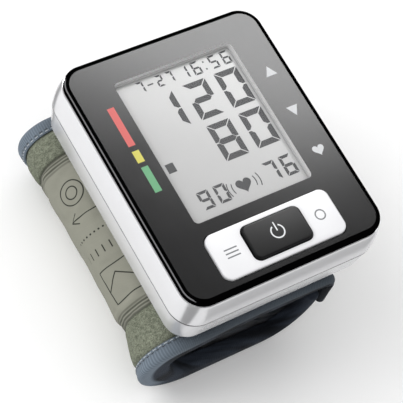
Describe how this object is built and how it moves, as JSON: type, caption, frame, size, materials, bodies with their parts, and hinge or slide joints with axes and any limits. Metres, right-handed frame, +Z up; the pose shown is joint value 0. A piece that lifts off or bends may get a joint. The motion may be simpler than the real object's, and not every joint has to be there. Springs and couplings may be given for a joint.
{
  "type": "wrist blood pressure monitor",
  "caption": "Wrist blood pressure monitor: rounded white housing with black display panel and rocker keys, on a padded fabric cuff that closes round the wrist with a strap.",
  "frame": {"origin": "on the floor plane under the middle of the display panel, where the cuff's lower wall rests", "axes": "+X to the right of the display, +Y to its top, along the wrist, +Z up out of the display"},
  "size_m": [0.0762, 0.0832, 0.0604],
  "materials": {
    "shell": "glossy white injection moulding",
    "cuff_plate_plastic": "matt white injection moulding",
    "panel": "glossy black in-mould panel",
    "window": "clear polished acrylic",
    "button": "satin charcoal moulding",
    "screw_steel": "zinc-plated steel",
    "lcd_grey": "pale grey liquid crystal cell on glass",
    "frame_plastic": "matt pale grey moulding",
    "connector_rubber": "striped conductive elastomer",
    "board": "green solder mask on glass-fibre board",
    "black_resin": "black epoxy and moulded cases",
    "switch_plastic": "grey tact switch housings",
    "motor_steel": "drawn steel can",
    "air_plastic": "natural nylon mouldings",
    "silicone": "translucent silicone",
    "cell_jacket": "plain printed jacket on a dry cell",
    "contact_metal": "nickel-plated spring steel",
    "cuff_cloth": "olive-grey brushed nap cloth with a smoother middle",
    "curler_plastic": "thin springy plastic sheet",
    "bladder_film": "soft welded film",
    "liner_cloth": "dark navy smooth nylon",
    "binding_tape": "blue-grey ribbed binding tape",
    "hook_tape": "dark hook tape"
  },
  "bodies": {
    "cuff_lower_wrap": {"cuff_outer_lower": "cuff_cloth", "cuff_curler_lower": "curler_plastic", "air_bladder_lower": "bladder_film", "cuff_liner_lower": "liner_cloth", "front_binding_lower": "binding_tape", "rear_binding_lower": "binding_tape"},
    "housing": {"top_case": "shell", "bottom_case": "shell", "cuff_plate": "cuff_plate_plastic", "front_panel": "panel", "display_window": "window", "case_screw_1": "screw_steel", "case_screw_2": "screw_steel", "case_screw_3": "screw_steel", "case_screw_4": "screw_steel", "lcd_cell": "lcd_grey", "lcd_frame": "frame_plastic", "lcd_connector_top": "connector_rubber", "lcd_connector_bottom": "connector_rubber", "main_board": "board", "controller_chip": "black_resin", "buzzer": "black_resin", "pressure_sensor": "black_resin", "power_switch": "switch_plastic", "left_key_switch": "switch_plastic", "right_key_switch": "switch_plastic", "pump_motor": "motor_steel", "exhaust_valve": "motor_steel", "pump_head": "air_plastic", "air_manifold": "air_plastic", "pump_tube": "silicone", "valve_tube": "silicone", "cuff_nipple": "silicone", "battery_inner": "cell_jacket", "battery_outer": "cell_jacket", "battery_contact_rear": "contact_metal", "battery_contact_plus": "contact_metal", "battery_contact_minus": "contact_metal", "cuff_outer_upper": "cuff_cloth", "cuff_curler_upper": "curler_plastic", "air_bladder_upper": "bladder_film", "cuff_liner_upper": "liner_cloth", "front_binding_upper": "binding_tape", "rear_binding_upper": "binding_tape"},
    "strap": {"strap_tab": "cuff_cloth", "hook_patch": "hook_tape", "strap_binding_front": "binding_tape", "strap_binding_rear": "binding_tape"},
    "mode_key_body": {"mode_key": "shell"},
    "power_button_body": {"power_button": "button"},
    "battery_door_body": {"battery_door": "shell"}
  },
  "joints": [
    {"name": "cuff_opening", "type": "hinge", "parent": "cuff_lower_wrap", "child": "housing", "pos_m": [-0.042, 0, 0.021], "axis": [0, -1, 0], "range_deg": [0, 45], "stiffness_Nm_per_rad": 0.05},
    {"name": "strap_peel", "type": "hinge", "parent": "housing", "child": "strap", "pos_m": [0.0255, 0, 0.0275], "axis": [0, -1, 0], "range_deg": [0, 75]},
    {"name": "mode_key_rock", "type": "hinge", "parent": "housing", "child": "mode_key_body", "pos_m": [0.0003, -0.0294, 0.0551], "axis": [0, 1, 0], "range_deg": [-2.2, 2.2], "stiffness_Nm_per_rad": 0.6},
    {"name": "power_button_press", "type": "slide", "parent": "housing", "child": "power_button_body", "axis": [0, 0, -1], "range_m": [0, 0.0007], "stiffness_N_per_m": 1500},
    {"name": "battery_door_slide", "type": "slide", "parent": "housing", "child": "battery_door_body", "axis": [1, 0, 0], "range_m": [0, 0.014]}
  ]
}
